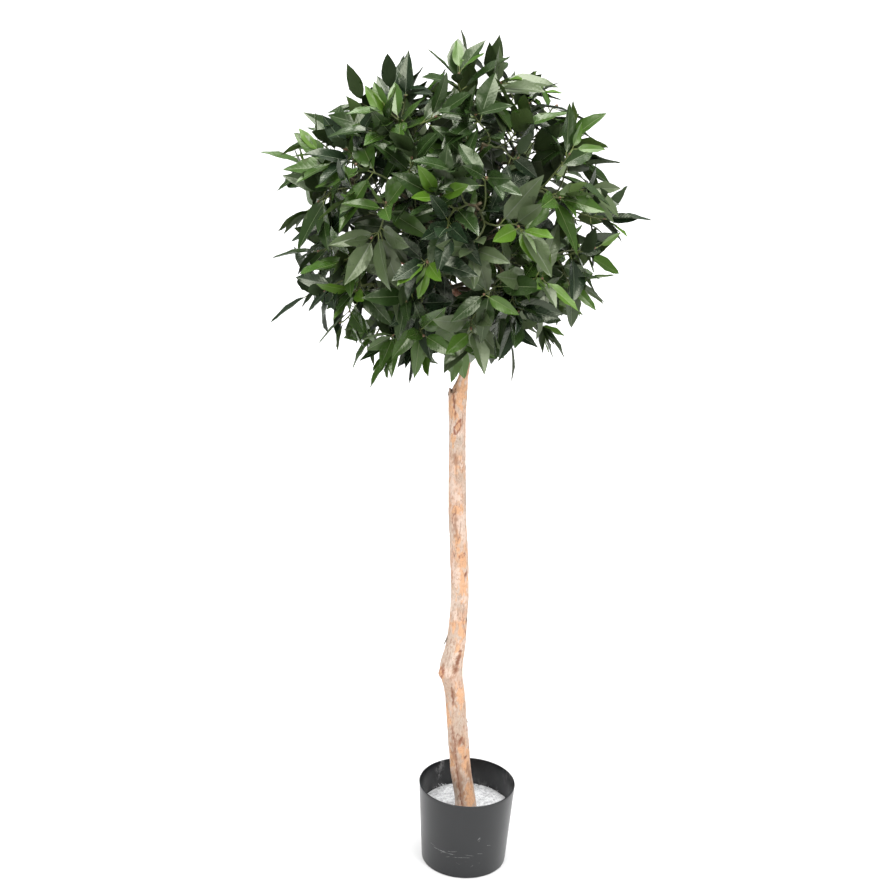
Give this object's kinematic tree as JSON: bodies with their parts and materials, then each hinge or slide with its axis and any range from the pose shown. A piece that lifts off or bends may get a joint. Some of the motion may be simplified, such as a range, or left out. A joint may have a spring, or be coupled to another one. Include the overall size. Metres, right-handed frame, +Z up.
{
  "type": "artificial bay laurel standard in a pot",
  "caption": "Artificial bay laurel standard: a round leafy head on a bare, slightly kinked wooden trunk, set in plaster in a plain tapered plastic pot.",
  "frame": {"origin": "the middle of the pot's flat underside", "axes": "+Z up, from the pot to the head; the trunk leans towards -X; -Y is the side that the main view sees"},
  "size_m": [0.6443, 0.6371, 1.4954],
  "materials": {
    "pot_plastic": "satin",
    "plaster": "matte",
    "peeled_wood": "matte",
    "brown_wood": "matte",
    "foliage": "satin"
  },
  "bodies": {
    "root": {"bough_high_1": "brown_wood", "bough_high_2": "brown_wood", "bough_high_3": "brown_wood", "bough_high_4": "brown_wood", "bough_high_5": "brown_wood", "bough_low_1": "brown_wood", "bough_low_2": "brown_wood", "bough_low_3": "brown_wood", "bough_low_4": "brown_wood", "bough_low_5": "brown_wood", "bough_lower_1": "brown_wood", "bough_lower_2": "brown_wood", "bough_lower_3": "brown_wood", "bough_lower_4": "brown_wood", "bough_lower_5": "brown_wood", "bough_lower_7": "brown_wood", "bough_lower_8": "brown_wood", "bough_upper_1": "brown_wood", "bough_upper_2": "brown_wood", "bough_upper_3": "brown_wood", "bough_upper_4": "brown_wood", "bough_upper_5": "brown_wood", "bough_upper_6": "brown_wood", "bough_upper_7": "brown_wood", "bough_upper_8": "brown_wood", "foliage_high_1": "foliage", "foliage_high_2": "foliage", "foliage_high_3": "foliage", "foliage_high_4": "foliage", "foliage_high_5": "foliage", "foliage_low_1": "foliage", "foliage_low_2": "foliage", "foliage_low_3": "foliage", "foliage_low_4": "foliage", "foliage_low_5": "foliage", "foliage_lower_1": "foliage", "foliage_lower_2": "foliage", "foliage_lower_3": "foliage", "foliage_lower_4": "foliage", "foliage_lower_5": "foliage", "foliage_lower_6": "foliage", "foliage_lower_7": "foliage", "foliage_lower_8": "foliage", "foliage_top": "foliage", "foliage_upper_1": "foliage", "foliage_upper_2": "foliage", "foliage_upper_3": "foliage", "foliage_upper_4": "foliage", "foliage_upper_5": "foliage", "foliage_upper_6": "foliage", "foliage_upper_7": "foliage", "foliage_upper_8": "foliage", "pot": "pot_plastic", "pot_fill": "plaster", "second_stem": "peeled_wood", "trunk": "peeled_wood"}
  },
  "joints": []
}
